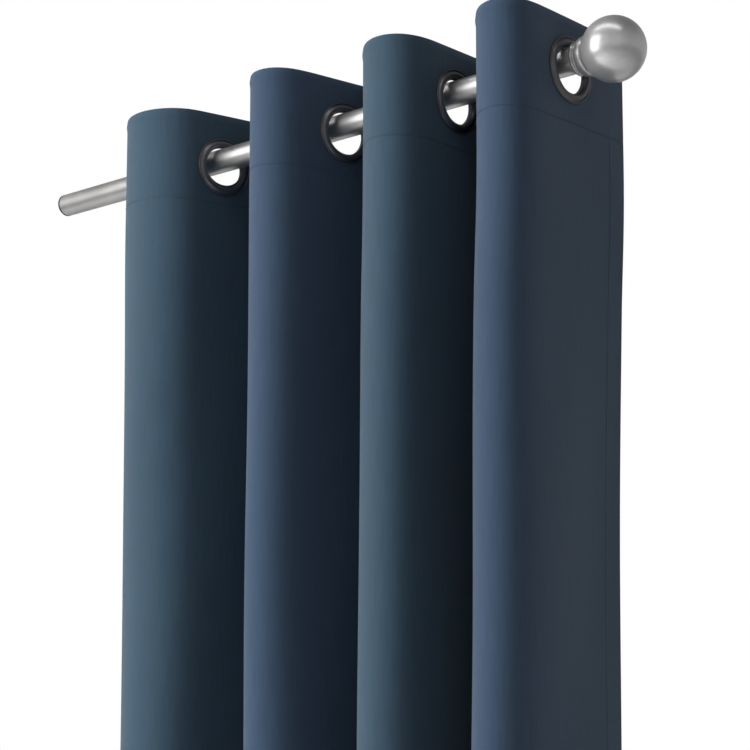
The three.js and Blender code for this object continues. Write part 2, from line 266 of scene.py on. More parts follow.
# %% Woven surface group
def build_weave():
    group, given, result = new_group(
        "woven_surface",
        [("Map", "NodeSocketVector", None), ("Threads per metre", "NodeSocketFloat", 1100.0)],
        [("Height", "NodeSocketFloat"), ("Slub", "NodeSocketFloat"), ("Shade", "NodeSocketFloat")],
    )
    scaled = add_node(group, "ShaderNodeVectorMath", {"operation": "SCALE"}, i0=given.outputs["Map"])
    group.links.new(given.outputs["Threads per metre"], scaled.inputs["Scale"])
    down = add_node(group, "ShaderNodeTexWave", {"bands_direction": "X"},
                    Vector=scaled.outputs[0], Scale=0.314, Distortion=0.6, Detail=1.0)
    across = add_node(group, "ShaderNodeTexWave", {"bands_direction": "Y"},
                      Vector=scaled.outputs[0], Scale=0.2, Distortion=0.8, Detail=1.0)
    weave = add_node(group, "ShaderNodeMath", {"operation": "MULTIPLY_ADD"}, i1=0.5)
    group.links.new(down.outputs["Fac"], weave.inputs[0])
    group.links.new(across.outputs["Fac"], weave.inputs[2])
    stretched = add_node(group, "ShaderNodeMapping", {}, Vector=given.outputs["Map"],
                         Scale=(900.0, 24.0, 1.0))
    slub = add_node(group, "ShaderNodeTexNoise", {}, Vector=stretched.outputs[0], Scale=1.0, Detail=3.0)
    flat_map = add_node(group, "ShaderNodeMapping", {}, Vector=given.outputs["Map"], Scale=(5.0, 2.2, 1.0))
    shade = add_node(group, "ShaderNodeTexNoise", {}, Vector=flat_map.outputs[0], Scale=1.0, Detail=4.0,
                     Roughness=0.55)
    group.links.new(weave.outputs[0], result.inputs["Height"])
    group.links.new(slub.outputs["Fac"], result.inputs["Slub"])
    group.links.new(shade.outputs["Fac"], result.inputs["Shade"])
    return group


weave_group = build_weave()
print("weave group", len(weave_group.nodes), "nodes")

# %% [markdown]
# Satin metal is drawn along its length and then plated. Long fine lines change how the light
# spreads, and a soft cloudiness stands for handling. Both come out as one value for roughness
# and one height for a bump.

# %% Satin metal group
def build_satin():
    group, given, result = new_group(
        "satin_lines",
        [("Stretch", "NodeSocketVector", (40.0, 1400.0, 1400.0)), ("Base", "NodeSocketFloat", 0.3),
         ("Spread", "NodeSocketFloat", 0.16)],
        [("Roughness", "NodeSocketFloat"), ("Height", "NodeSocketFloat"), ("Cloud", "NodeSocketFloat")],
    )
    place = group.nodes.new("ShaderNodeTexCoord")
    stretched = add_node(group, "ShaderNodeVectorMath", {"operation": "MULTIPLY"}, i0=place.outputs["Object"])
    group.links.new(given.outputs["Stretch"], stretched.inputs[1])
    lines = add_node(group, "ShaderNodeTexNoise", {}, Vector=stretched.outputs[0], Scale=1.0, Detail=5.0,
                     Roughness=0.6)
    cloud = add_node(group, "ShaderNodeTexNoise", {}, Vector=place.outputs["Object"], Scale=26.0, Detail=4.0)
    centred = add_node(group, "ShaderNodeMath", {"operation": "SUBTRACT"}, i0=lines.outputs["Fac"], i1=0.5)
    clouded = add_node(group, "ShaderNodeMath", {"operation": "MULTIPLY_ADD"}, i0=cloud.outputs["Fac"],
                       i1=0.5, i2=centred.outputs[0])
    spread = add_node(group, "ShaderNodeMath", {"operation": "MULTIPLY"}, i0=clouded.outputs[0])
    group.links.new(given.outputs["Spread"], spread.inputs[1])
    rough = add_node(group, "ShaderNodeMath", {"operation": "ADD"}, i0=spread.outputs[0])
    group.links.new(given.outputs["Base"], rough.inputs[1])
    group.links.new(rough.outputs[0], result.inputs["Roughness"])
    group.links.new(lines.outputs["Fac"], result.inputs["Height"])
    group.links.new(cloud.outputs["Fac"], result.inputs["Cloud"])
    return group


satin_group = build_satin()
print("satin group", len(satin_group.nodes), "nodes")

# %% [markdown]
# The cloth is a dark slate blue with a breath of teal in some folds, matt, with the faint
# bloom that short fibres give when they are seen edge on.

# %% Curtain cloth finish
CLOTH_BLUE = (0.030, 0.053, 0.090, 1)
CLOTH_TEAL = (0.030, 0.058, 0.084, 1)
CLOTH_DEEP = (0.019, 0.035, 0.062, 1)
DYE_WAVE_PERIOD = 0.824
SHEEN_WEIGHT = 0.22
SHEEN_TINT = (0.84, 0.81, 0.78, 1)
THREADS_PER_METRE = 1600.0
CLOTH_MAP = "cloth_map"


def cloth_finish(name, threads):
    material, tree, surface = new_finish(name)
    cloth_map = add_node(tree, "ShaderNodeUVMap", {"uv_map": CLOTH_MAP})
    weave = add_node(tree, "ShaderNodeGroup", {"node_tree": weave_group}, Map=cloth_map.outputs[0])
    weave.inputs["Threads per metre"].default_value = threads
    parts = add_node(tree, "ShaderNodeSeparateXYZ", {}, i0=cloth_map.outputs[0])
    turn = add_node(tree, "ShaderNodeMath", {"operation": "MULTIPLY"}, i0=parts.outputs[0],
                    i1=2 * math.pi / DYE_WAVE_PERIOD)
    wave = add_node(tree, "ShaderNodeMath", {"operation": "SINE"}, i0=turn.outputs[0])
    share = add_node(tree, "ShaderNodeMapRange", {}, i0=wave.outputs[0], i1=-1.0, i2=1.0)
    dye = add_node(tree, "ShaderNodeMix", {"data_type": "RGBA"})
    dye.inputs[6].default_value, dye.inputs[7].default_value = CLOTH_BLUE, CLOTH_TEAL
    tree.links.new(share.outputs[0], dye.inputs[0])
    worn = add_node(tree, "ShaderNodeMapRange", {}, i0=weave.outputs["Shade"],
                    i1=0.3, i2=0.75, i3=0.0, i4=0.4)
    cloudy = add_node(tree, "ShaderNodeMix", {"data_type": "RGBA"})
    cloudy.inputs[7].default_value = CLOTH_DEEP
    tree.links.new(worn.outputs[0], cloudy.inputs[0])
    tree.links.new(dye.outputs[2], cloudy.inputs[6])
    fleck = add_node(tree, "ShaderNodeMapRange", {}, i0=weave.outputs["Slub"],
                     i1=0.25, i2=0.75, i3=0.82, i4=1.14)
    thread = add_node(tree, "ShaderNodeMix", {"data_type": "RGBA", "blend_type": "MULTIPLY"})
    thread.inputs[0].default_value = 1.0
    tree.links.new(cloudy.outputs[2], thread.inputs[6])
    tree.links.new(fleck.outputs[0], thread.inputs[7])
    tree.links.new(thread.outputs[2], surface.inputs["Base Color"])
    rough = add_node(tree, "ShaderNodeMapRange", {}, i0=weave.outputs["Slub"], i3=0.8, i4=0.96)
    tree.links.new(rough.outputs[0], surface.inputs["Roughness"])
    ribs = add_node(tree, "ShaderNodeBump", {}, Strength=0.35, Distance=0.00025,
                    Height=weave.outputs["Height"])
    slubs = add_node(tree, "ShaderNodeBump", {}, Strength=0.25, Distance=0.0003,
                     Height=weave.outputs["Slub"], Normal=ribs.outputs[0])
    tree.links.new(slubs.outputs[0], surface.inputs["Normal"])
    surface.inputs["Sheen Weight"].default_value = SHEEN_WEIGHT
    surface.inputs["Sheen Roughness"].default_value = 0.45
    surface.inputs["Sheen Tint"].default_value = SHEEN_TINT
    surface.inputs["Specular IOR Level"].default_value = 0.25
    return material


cloth = cloth_finish("slate_blackout_cloth", THREADS_PER_METRE)
print("cloth finish ready")

# %% [markdown]
# Thread is the same colour as the cloth but twisted and a little shinier, so the seams show
# only up close, as on the real panel.

# %% Thread finish
THREAD_DARK = (0.024, 0.042, 0.066, 1)
THREAD_LIGHT = (0.040, 0.066, 0.098, 1)


def thread_finish():
    material, tree, surface = new_finish("slate_thread")
    place = add_node(tree, "ShaderNodeTexCoord")
    twist = add_node(tree, "ShaderNodeTexWave", {"bands_direction": "DIAGONAL"},
                     Vector=place.outputs["Object"], Scale=900.0, Distortion=1.0)
    colour = add_node(tree, "ShaderNodeMix", {"data_type": "RGBA"})
    colour.inputs[6].default_value, colour.inputs[7].default_value = THREAD_DARK, THREAD_LIGHT
    tree.links.new(twist.outputs["Fac"], colour.inputs[0])
    tree.links.new(colour.outputs[2], surface.inputs["Base Color"])
    bump = add_node(tree, "ShaderNodeBump", {}, Strength=0.4, Distance=0.0002, Height=twist.outputs["Fac"])
    tree.links.new(bump.outputs[0], surface.inputs["Normal"])
    surface.inputs["Roughness"].default_value = 0.62
    return material


thread = thread_finish()
print("thread finish ready")

# %% [markdown]
# Each metal piece takes the satin lines with its own colour, direction and depth: the rod is
# drawn along X, the turned finial and the eyelets are brushed round. The pewter is lacquered,
# so it isn't wholly metal.

# %% Metal finishes
def metal_finish(name, light_tone, dark_tone, base, spread, stretch, bump_depth, metal=1.0):
    material, tree, surface = new_finish(name)
    satin = add_node(tree, "ShaderNodeGroup", {"node_tree": satin_group})
    satin.inputs["Stretch"].default_value = stretch
    satin.inputs["Base"].default_value = base
    satin.inputs["Spread"].default_value = spread
    tone = add_node(tree, "ShaderNodeMix", {"data_type": "RGBA"})
    tone.inputs[6].default_value, tone.inputs[7].default_value = dark_tone, light_tone
    mask = add_node(tree, "ShaderNodeMapRange", {}, i0=satin.outputs["Cloud"], i1=0.3, i2=0.7)
    tree.links.new(mask.outputs[0], tone.inputs[0])
    tree.links.new(tone.outputs[2], surface.inputs["Base Color"])
    tree.links.new(satin.outputs["Roughness"], surface.inputs["Roughness"])
    bump = add_node(tree, "ShaderNodeBump", {}, Strength=0.3, Distance=bump_depth,
                    Height=satin.outputs["Height"])
    tree.links.new(bump.outputs[0], surface.inputs["Normal"])
    surface.inputs["Metallic"].default_value = metal
    return material


satin_nickel = metal_finish("satin_nickel", (0.74, 0.73, 0.72, 1), (0.62, 0.61, 0.60, 1),
                            0.36, 0.12, (30.0, 1600.0, 1600.0), 0.00006)
pewter = metal_finish("satin_pewter", (0.56, 0.55, 0.55, 1), (0.43, 0.425, 0.42, 1),
                      0.27, 0.10, (900.0, 120.0, 120.0), 0.00003, 0.7)
gunmetal = metal_finish("gunmetal", (0.17, 0.17, 0.185, 1), (0.10, 0.10, 0.11, 1),
                        0.36, 0.12, (500.0, 160.0, 160.0), 0.00003)
zinc_steel = metal_finish("zinc_steel", (0.42, 0.43, 0.44, 1), (0.30, 0.31, 0.32, 1),
                          0.36, 0.2, (700.0, 700.0, 700.0), 0.00008)
print("metal finishes ready")

# %% [markdown]
# The end plug is moulded in black plastic, which is never quite black and has a very fine
# grain from its mould. The plug, the stud and the grub screw are right as the CAD has them, so
# they only get their finish.

# %% Moulded plastic finish
PLASTIC_DARK = (0.012, 0.012, 0.013, 1)
PLASTIC_LIGHT = (0.03, 0.03, 0.032, 1)


def plastic_finish():
    material, tree, surface = new_finish("black_plastic")
    place = add_node(tree, "ShaderNodeTexCoord")
    grain = add_node(tree, "ShaderNodeTexNoise", {}, Vector=place.outputs["Object"], Scale=2200.0, Detail=2.0)
    tone = add_node(tree, "ShaderNodeMix", {"data_type": "RGBA"})
    tone.inputs[6].default_value, tone.inputs[7].default_value = PLASTIC_DARK, PLASTIC_LIGHT
    tree.links.new(grain.outputs["Fac"], tone.inputs[0])
    tree.links.new(tone.outputs[2], surface.inputs["Base Color"])
    bump = add_node(tree, "ShaderNodeBump", {}, Strength=0.3, Distance=0.0001, Height=grain.outputs["Fac"])
    tree.links.new(bump.outputs[0], surface.inputs["Normal"])
    surface.inputs["Roughness"].default_value = 0.55
    return material


black_plastic = plastic_finish()
cad_finishes = {"rod_end_plug": black_plastic, "finial_stud": zinc_steel, "finial_grub_screw": zinc_steel}
for node, finish in cad_finishes.items():
    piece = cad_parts[node]
    piece.data.materials.clear()
    piece.data.materials.append(finish)
print("small CAD pieces finished")

# %% [markdown]
# The rod, the finial and the eyelets are all turned shapes. On a lathe each would be cut from
# its section, so here one helper starts from a single circle of edges and extrudes it along
# the axis again and again, resizing each new circle: the profile is walked point by point.
# A closed section ends on its first circle, and the doubled vertices are merged. An open one
# gets a cap at each end.

# %% Turning helper
def clear_selection():
    if bpy.context.object and bpy.context.object.mode != "OBJECT":
        bpy.ops.object.mode_set(mode="OBJECT")
    bpy.ops.object.select_all(action="DESELECT")


def set_place(piece):
    clear_selection()
    piece.select_set(True)
    bpy.context.view_layer.objects.active = piece
    bpy.ops.object.transform_apply(location=True, rotation=True, scale=True)


def face_outwards(piece):
    clear_selection()
    piece.select_set(True)
    bpy.context.view_layer.objects.active = piece
    bpy.ops.object.mode_set(mode="EDIT")
    bpy.ops.mesh.select_all(action="SELECT")
    bpy.ops.mesh.normals_make_consistent(inside=False)
    bpy.ops.object.mode_set(mode="OBJECT")


def turn(name, profile, sides, closed, finish, smooth_angle=40):
    """profile is a list of (radius, x) in metres round the X axis, walked so that outside lies ahead."""
    clear_selection()
    radius, x = profile[0]
    bpy.ops.mesh.primitive_circle_add(vertices=sides, radius=radius, fill_type="NOTHING",
                                      location=(x, 0, 0), rotation=(0, math.pi / 2, 0))
    piece = bpy.context.object
    piece.name = piece.data.name = name
    set_place(piece)
    bpy.ops.object.mode_set(mode="EDIT")
    bpy.ops.mesh.select_all(action="SELECT")
    walked = profile[1:] + ([profile[0]] if closed else [])
    for next_radius, next_x in walked:
        bpy.ops.mesh.extrude_edges_move(TRANSFORM_OT_translate={"value": (next_x - x, 0, 0)})
        ratio = next_radius / radius
        bpy.ops.transform.resize(value=(1, ratio, ratio), center_override=(next_x, 0, 0))
        radius, x = next_radius, next_x
    if not closed:
        bpy.ops.mesh.edge_face_add()
        bpy.ops.mesh.poke()
        bpy.ops.mesh.select_all(action="DESELECT")
        bpy.ops.object.mode_set(mode="OBJECT")
        start = profile[0]
        for vertex in piece.data.vertices:
            reach = math.hypot(vertex.co.y, vertex.co.z)
            vertex.select = abs(vertex.co.x - start[1]) < 1e-7 and abs(reach - start[0]) < 1e-6
        bpy.ops.object.mode_set(mode="EDIT")
        bpy.ops.mesh.edge_face_add()
        bpy.ops.mesh.poke()
    bpy.ops.mesh.select_all(action="SELECT")
    bpy.ops.mesh.remove_doubles(threshold=1e-6)
    bpy.ops.mesh.normals_make_consistent(inside=False)
    bpy.ops.object.mode_set(mode="OBJECT")
    bpy.ops.object.shade_smooth_by_angle(angle=math.radians(smooth_angle))
    piece.data.materials.append(finish)
    return piece


def rounded(centre_radius, centre_x, radius, start, end, steps):
    """Points of a round stretch of a profile, from one angle to another in degrees (0 points outwards)."""
    angles = [math.radians(start + (end - start) * i / steps) for i in range(steps + 1)]
    return [(centre_radius + radius * math.cos(a), centre_x + radius * math.sin(a)) for a in angles]


print("turning helper ready")

# %% [markdown]
# The rod is a thin tube. Its section is a long narrow rectangle, with its edges broken by a
# small radius as a tube cutter and a file leave them, so the end catches a fine line of light.

# %% Rod
ROD_WALL = 1.2 * MM
ROD_EDGE = 0.4 * MM
ROD_SIDES = 96
rod_start, rod_end = span("rod_tube", 0)
bore = rod_radius - ROD_WALL
rod = turn("satin_rod", [
    (bore, rod_start),
    *rounded(rod_radius - ROD_EDGE, rod_start + ROD_EDGE, ROD_EDGE, -90, 0, 3),
    *rounded(rod_radius - ROD_EDGE, rod_end - ROD_EDGE, ROD_EDGE, 0, 90, 3),
    (bore, rod_end),
], ROD_SIDES, True, satin_nickel)
print("rod", len(rod.data.vertices), "vertices")

# %% [markdown]
# The finial's collar slips over the rod. From its mouth it has a thin round bead, a groove and
# a wide ring, and a flat end with the stud's hole. The walk goes along the outside, in across
# the end and back along the bore.

# %% Finial collar
collar_mouth, collar_end = span("finial_collar", 0)
COLLAR_BORE = 13.0 * MM
BEAD_RADIUS = 16.25 * MM
BEAD_WIDTH = 4.0 * MM
GROOVE_RADIUS = 14.8 * MM
GROOVE_WIDTH = 3.2 * MM
RING_RADIUS = 18.5 * MM
RING_ROUND = 2.4 * MM
STUD_HOLE = 3.3 * MM
SOCKET_DEPTH = 9.8 * MM
FINE_SIDES = 96
ring_start = collar_mouth + BEAD_WIDTH + GROOVE_WIDTH
collar = turn("finial_collar_turned", [
    (COLLAR_BORE, collar_mouth),
    *rounded(BEAD_RADIUS - BEAD_WIDTH / 2, collar_mouth + BEAD_WIDTH / 2, BEAD_WIDTH / 2, -90, 90, 10),
    (GROOVE_RADIUS + 0.3 * MM, collar_mouth + BEAD_WIDTH + 0.1 * MM),
    (GROOVE_RADIUS, collar_mouth + BEAD_WIDTH + 0.6 * MM),
    (GROOVE_RADIUS, ring_start - 0.8 * MM),
    (GROOVE_RADIUS + 0.5 * MM, ring_start - 0.1 * MM),
    *rounded(RING_RADIUS - RING_ROUND, ring_start + RING_ROUND, RING_ROUND, -90, 0, 6),
    *rounded(RING_RADIUS - RING_ROUND, collar_end - RING_ROUND, RING_ROUND, 0, 90, 6),
    (STUD_HOLE, collar_end),
    (STUD_HOLE, collar_mouth + SOCKET_DEPTH),
    (COLLAR_BORE, collar_mouth + SOCKET_DEPTH),
], FINE_SIDES, True, pewter, 50)
print("collar", len(collar.data.vertices), "vertices")

# %% [markdown]
# The ball is a full round with a short neck that flares down onto the collar, which makes it
# look slightly like a pear from the side. Its section is open, so the helper caps both ends:
# the flat one sits on the collar, and the other is the very tip.

# %% Finial ball
BALL_RADIUS = 30 * MM
NECK_RADIUS = 17.5 * MM
NECK_LIP = 1.2 * MM
BALL_STEPS = 40
ball_face, ball_tip = span("finial_ball", 0)
ball_centre = ball_tip - BALL_RADIUS
JOIN_ANGLE = -44
ball = turn("finial_ball_turned", [
    (STUD_HOLE, ball_face),
    *rounded(NECK_RADIUS - NECK_LIP / 2, ball_face + NECK_LIP / 2, NECK_LIP / 2, -90, 60, 5),
    (NECK_RADIUS + 0.9 * MM, ball_face + 1.3 * MM),
    (NECK_RADIUS + 2.3 * MM, ball_face + 2.0 * MM),
    *rounded(0, ball_centre, BALL_RADIUS, JOIN_ANGLE, 88.5, BALL_STEPS),
], FINE_SIDES, False, pewter, 60)
print("ball", len(ball.data.vertices), "vertices")

# %% [markdown]
# An eyelet is two snap rings. The face ring has a thin rim, a groove and a domed flange
# that rolls into the barrel through the cloth. The back ring is a plain domed washer. Each is
# turned once and copied to each place. The cloth turns over from one eyelet to the next, so
# every other eyelet is the mirror image along the rod, and each takes its own lean.

# %% Eyelet profiles
EYELET_RADIUS = 31.5 * MM
EYELET_BORE = 22.0 * MM
BARREL_RADIUS = 23.2 * MM
RING_SEAT = 1.1 * MM
BARREL_REACH = 3.5 * MM
BACK_RISE = 2.4 * MM
EYELET_SIDES = 72

face_profile = [
    (EYELET_RADIUS - 0.3 * MM, RING_SEAT),
    (EYELET_RADIUS, RING_SEAT + 0.35 * MM),
    *rounded(EYELET_RADIUS - 0.7 * MM, RING_SEAT + 0.8 * MM, 0.7 * MM, 0, 150, 6),
    (EYELET_RADIUS - 1.7 * MM, RING_SEAT + 0.75 * MM),
    (EYELET_RADIUS - 2.2 * MM, RING_SEAT + 1.0 * MM),
    (EYELET_RADIUS - 2.8 * MM, RING_SEAT + 1.7 * MM),
    (EYELET_RADIUS - 3.8 * MM, RING_SEAT + 2.5 * MM),
    (EYELET_RADIUS - 4.9 * MM, RING_SEAT + 3.0 * MM),
    (EYELET_RADIUS - 5.9 * MM, RING_SEAT + 3.1 * MM),
    (EYELET_RADIUS - 7.0 * MM, RING_SEAT + 2.8 * MM),
    (EYELET_RADIUS - 8.0 * MM, RING_SEAT + 1.9 * MM),
    (EYELET_BORE + 0.25 * MM, RING_SEAT + 0.7 * MM),
    (EYELET_BORE, RING_SEAT - 0.6 * MM),
    (EYELET_BORE, -BARREL_REACH + 0.3 * MM),
    (EYELET_BORE + 0.3 * MM, -BARREL_REACH),
    (BARREL_RADIUS - 0.2 * MM, -BARREL_REACH),
    (BARREL_RADIUS, -BARREL_REACH + 0.2 * MM),
    (BARREL_RADIUS, RING_SEAT),
]
back_inner = BARREL_RADIUS + 0.3 * MM
back_profile = [
    (back_inner, -RING_SEAT),
    (EYELET_RADIUS - 0.3 * MM, -RING_SEAT),
    (EYELET_RADIUS, -RING_SEAT - 0.4 * MM),
    (EYELET_RADIUS - 0.5 * MM, -RING_SEAT - 1.1 * MM),
    (EYELET_RADIUS - 1.8 * MM, -RING_SEAT - 1.9 * MM),
    (EYELET_RADIUS - 3.2 * MM, -RING_SEAT - BACK_RISE),
    (back_inner + 0.9 * MM, -RING_SEAT - BACK_RISE),
    (back_inner, -RING_SEAT - 1.8 * MM),
]
print("eyelet profiles", len(face_profile), len(back_profile))

# %% Eyelet rings
def place_copy(master, name, number, mirrored):
    clear_selection()
    piece = master.copy()
    piece.data = master.data.copy()
    piece.name = piece.data.name = name
    bpy.context.collection.objects.link(piece)
    piece.location = (eyelet_x[number - 1], 0, eyelet_z)
    piece.rotation_euler = (0, 0, EYELET_LEANS[number - 1] * (1 if mirrored else -1))
    piece.scale = (-1 if mirrored else 1, 1, 1)
    set_place(piece)
    if mirrored:
        face_outwards(piece)
    return piece


face_master = turn("face_ring_master", face_profile, EYELET_SIDES, True, gunmetal, 55)
back_master = turn("back_ring_master", back_profile, EYELET_SIDES, True, gunmetal, 55)
face_rings, back_rings = [], []
for k in range(1, EYELETS + 1):
    mirrored = k % 2 == 1
    face_rings.append(place_copy(face_master, f"eyelet_face_{k}", k, mirrored))
    back_rings.append(place_copy(back_master, f"eyelet_back_{k}", k, mirrored))
for master in (face_master, back_master):
    bpy.data.objects.remove(master)
print("eyelet rings", len(face_rings) + len(back_rings))

# %% [markdown]
# The curtain is one length of cloth. Seen from above it swings round the rod like a line of
# letter S's: flat where an eyelet clamps it, bent between. A strip of cloth takes the bend that
# costs it least: its direction turns evenly from one end to the other, and where the eyelets
# stand close together the round end swells. So each bend is found by walking along it, and two
# numbers, the bulge and the skew, are tuned until it ends at the next eyelet.

# %% One bend of the cloth
CLOTH_BETWEEN = 206 * MM
SEAT = 31.8 * MM
WALK = 240
HALVINGS = 36
SKEW_RANGE = (-1.2, 1.2)
BULGE_RANGE = (-0.9, 1.8)


def walk_bend(length, lean_left, lean_right, bulge, skew):
    share = (np.arange(WALK) + 0.5) / WALK
    start, end = math.pi / 2 - lean_left, lean_right - math.pi / 2
    angle = start + (end - start) * share
    angle = angle + bulge * np.sin(2 * math.pi * share) + skew * np.sin(math.pi * share)
    step = length / WALK
    return (np.r_[0, np.cumsum(np.cos(angle))] * step, np.r_[0, np.cumsum(np.sin(angle))] * step)


def solve(measure, low, high):
    """The value between low and high where a rising or falling measure reaches zero."""
    rising = measure(high) > measure(low)
    for _ in range(HALVINGS):
        centre = (low + high) / 2
        if (measure(centre) > 0) == rising:
            high = centre
        else:
            low = centre
    return (low + high) / 2


def bend_line(k):
    """The bend from eyelet k to eyelet k + 1: points along the rod, and out from it."""
    lean_left, lean_right = EYELET_LEANS[k - 1], EYELET_LEANS[k]
    length = CLOTH_BETWEEN - 2 * SEAT
    width = EYELET_GAPS[k - 1] - SEAT * (math.sin(lean_left) + math.sin(lean_right))
    rise = SEAT * (math.cos(lean_right) - math.cos(lean_left))

    def walk(bulge, skew):
        return walk_bend(length, lean_left, lean_right, bulge, skew)

    def level_skew(bulge):
        return solve(lambda skew: walk(bulge, skew)[1][-1] - rise, *SKEW_RANGE)

    bulge = solve(lambda trial: walk(trial, level_skew(trial))[0][-1] - width, *BULGE_RANGE)
    along, out = walk(bulge, level_skew(bulge))
    return SEAT * math.sin(lean_left) + along, SEAT * math.cos(lean_left) + out


print("first bend stands out (mm)", round(bend_line(1)[1].max() / MM))

# %% [markdown]
# The bends are strung together into the whole line, with a straight tail behind the rod at each
# end. The nearer front folds lean a few millimetres towards the finial, as they do when the
# panel has last been pulled that way. Distance along the cloth is measured from the far side
# hem, so a seam or a weave can follow it. A second, softer line serves the cloth lower down.

# %% Plan line of the cloth at the header
LINE_STEP = 0.5 * MM
SIDE_TAIL = 82 * MM
NOSE_DRIFT = {3: 4 * MM, 5: 6 * MM, 7: 8 * MM}
HEADER_REACH = 1.5 * MM
SOFT_REACH = 16 * MM
SOFT_DEPTH = 1.02


def tail_end(k):
    lean = EYELET_LEANS[k - 1] * (1 if k % 2 == 1 else -1)
    return np.array([[eyelet_x[k - 1] - SIDE_TAIL * math.sin(lean), SIDE_TAIL * math.cos(lean)]])


def plan_line():
    pieces = [tail_end(1)]
    for k in range(1, EYELETS):
        along, out = bend_line(k)
        along = along + NOSE_DRIFT.get(k, 0) * np.sin(math.pi * np.linspace(0, 1, len(along))) ** 2
        pieces.append(np.column_stack([eyelet_x[k - 1] + along, (-1 if k % 2 == 1 else 1) * out]))
    pieces.append(tail_end(EYELETS))
    rough = np.vstack(pieces)
    lengths = np.r_[0, np.cumsum(np.linalg.norm(np.diff(rough, axis=0), axis=1))]
    s = np.arange(0, lengths[-1], LINE_STEP)
    return s, np.column_stack([np.interp(s, lengths, rough[:, i]) for i in (0, 1)])


def smoothed(line, reach):
    """The same line with its bends softened, as cloth hangs where nothing clamps it."""
    half = int(3 * reach / LINE_STEP)
    weights = np.exp(-0.5 * (np.arange(-half, half + 1) * LINE_STEP / reach) ** 2)
    weights /= weights.sum()
    ends = np.vstack([2 * line[0] - line[half:0:-1], line, 2 * line[-1] - line[-2:-half - 2:-1]])
    return np.column_stack([np.convolve(ends[:, i], weights, "valid") for i in (0, 1)])


plan_s, plan_header = plan_line()
cloth_width = plan_s[-1]
plan_header = smoothed(plan_header, HEADER_REACH)
plan_soft = smoothed(plan_header, SOFT_REACH)
plan_soft[:, 1] *= SOFT_DEPTH
eyelet_s = [SIDE_TAIL + k * CLOTH_BETWEEN for k in range(EYELETS)]
print("cloth width (mm)", round(cloth_width / MM), "eyelets at", [round(s / MM) for s in eyelet_s])

# %% [markdown]
# Lower down nothing holds the line, so the folds relax: their bends open a little, they stand
# slightly deeper, and the whole panel draws in towards its foot. Slow waves along the cloth
# keep two folds from ever being alike. One function gives the place of any point of the
# cloth, from the distance along it, the distance below the top edge and the layer it is on.

# %% Hang of the cloth
cloth_drop = header_top - cloth_foot
eyelet_drop = header_top - eyelet_z
HEADER_DEPTH = 101 * MM
HEADER_SEAM = 98.5 * MM
HEM_DEPTH = 75 * MM
HEM_SEAM = 72 * MM
SIDE_HEM = 25 * MM
RELAX_LENGTH = 620 * MM
DRAW_IN = 0.064
DRAW_LENGTH = 750 * MM
DRAW_START = 160 * MM
DRAW_CENTRE = -45 * MM
CLIMB = 6 * MM
WAVE_START = 450 * MM
SLOW_WAVES = ((1.5, 0.37, 2.1, 0.6), (1.1, 0.231, -0.93, 2.1), (0.7, 0.153, 0.61, 4.4))
TOP_PUFF = 0.75 * MM
SEAM_DIP = 0.12 * MM
SEAM_HALF_WIDTH = 2.5 * MM
LAYER_OFFSET = 0.5 * MM
CLOTH_THICKNESS = 0.9 * MM


def eased(value, start, length):
    share = np.clip((value - start) / length, 0, 1)
    return share * share * (3 - 2 * share)


def plan_at(s, v):
    free = eased(v, HEADER_DEPTH, RELAX_LENGTH)
    x, y = [(1 - free) * np.interp(s, plan_s, plan_header[:, i])
            + free * np.interp(s, plan_s, plan_soft[:, i]) for i in (0, 1)]
    below = np.maximum(0, v - HEADER_DEPTH)
    drawn = DRAW_IN * (1 - np.exp(-below / DRAW_LENGTH)) * eased(v, HEADER_DEPTH, DRAW_START)
    return x - drawn * (x - DRAW_CENTRE), y


def slow_waves(s, v):
    """Each wave has its height in mm, its length across and down in metres, and its start."""
    waves = 0
    for height, across, down, start in SLOW_WAVES:
        waves = waves + height * np.sin(2 * math.pi * (s / across + v / down) + start)
    return eased(v, HEADER_DEPTH, WAVE_START) * waves * MM


def top_puff(v):
    """The folded top edge is a little fuller than the pressed header under it."""
    return TOP_PUFF * np.exp(-((v - 6 * MM) / (3.6 * MM)) ** 2)


def seam_dip(v):
    """Each line of stitching pulls its layers together."""
    seams_at = (HEADER_SEAM, cloth_drop - HEM_SEAM)
    return sum(SEAM_DIP * np.exp(-((v - seam) / SEAM_HALF_WIDTH) ** 2) for seam in seams_at)


def cloth_point(s, v, layer):
    """layer is the distance from the middle of the cloth, positive on the face side."""
    s, v, layer = np.broadcast_arrays(np.asarray(s, float), np.asarray(v, float), np.asarray(layer, float))
    x, y = plan_at(s, v)
    xa, ya = plan_at(s - 1 * MM, v)
    xb, yb = plan_at(s + 1 * MM, v)
    tx, ty = xb - xa, yb - ya
    length = np.hypot(tx, ty)
    out = layer + np.sign(layer) * (top_puff(v) - seam_dip(v)) + slow_waves(s, v)
    edge = 0.5 * MM * np.sin(2 * math.pi * s / 0.29 + 1.0) * (1 - eased(v, 0, 15 * MM))
    climb = CLIMB * (1 - 2 * s / cloth_width) * (1 - eased(v, cloth_drop / 2, cloth_drop / 2))
    return np.stack([x + ty / length * out, y - tx / length * out, header_top - v + edge + climb], axis=-1)


print("drop (mm)", round(cloth_drop / MM))

# %% [markdown]
# The sheet is made as a net of squares. Its columns and rows close up where the cloth does
# something: at the rolled top edge, round the eyelets, at the seams and in the hems.

# %% Columns and rows of the net
HOLE_RADIUS = 23.45 * MM
PATCH_HALF = 33 * MM
PATCH_CELLS = 12
FOLD_CELL = 6.0 * MM
LONG_CELL = 20 * MM
HEM_CELL = 5 * MM


def spaced(start, end, target):
    count = max(1, round((end - start) / target))
    return list(np.linspace(start, end, count + 1))


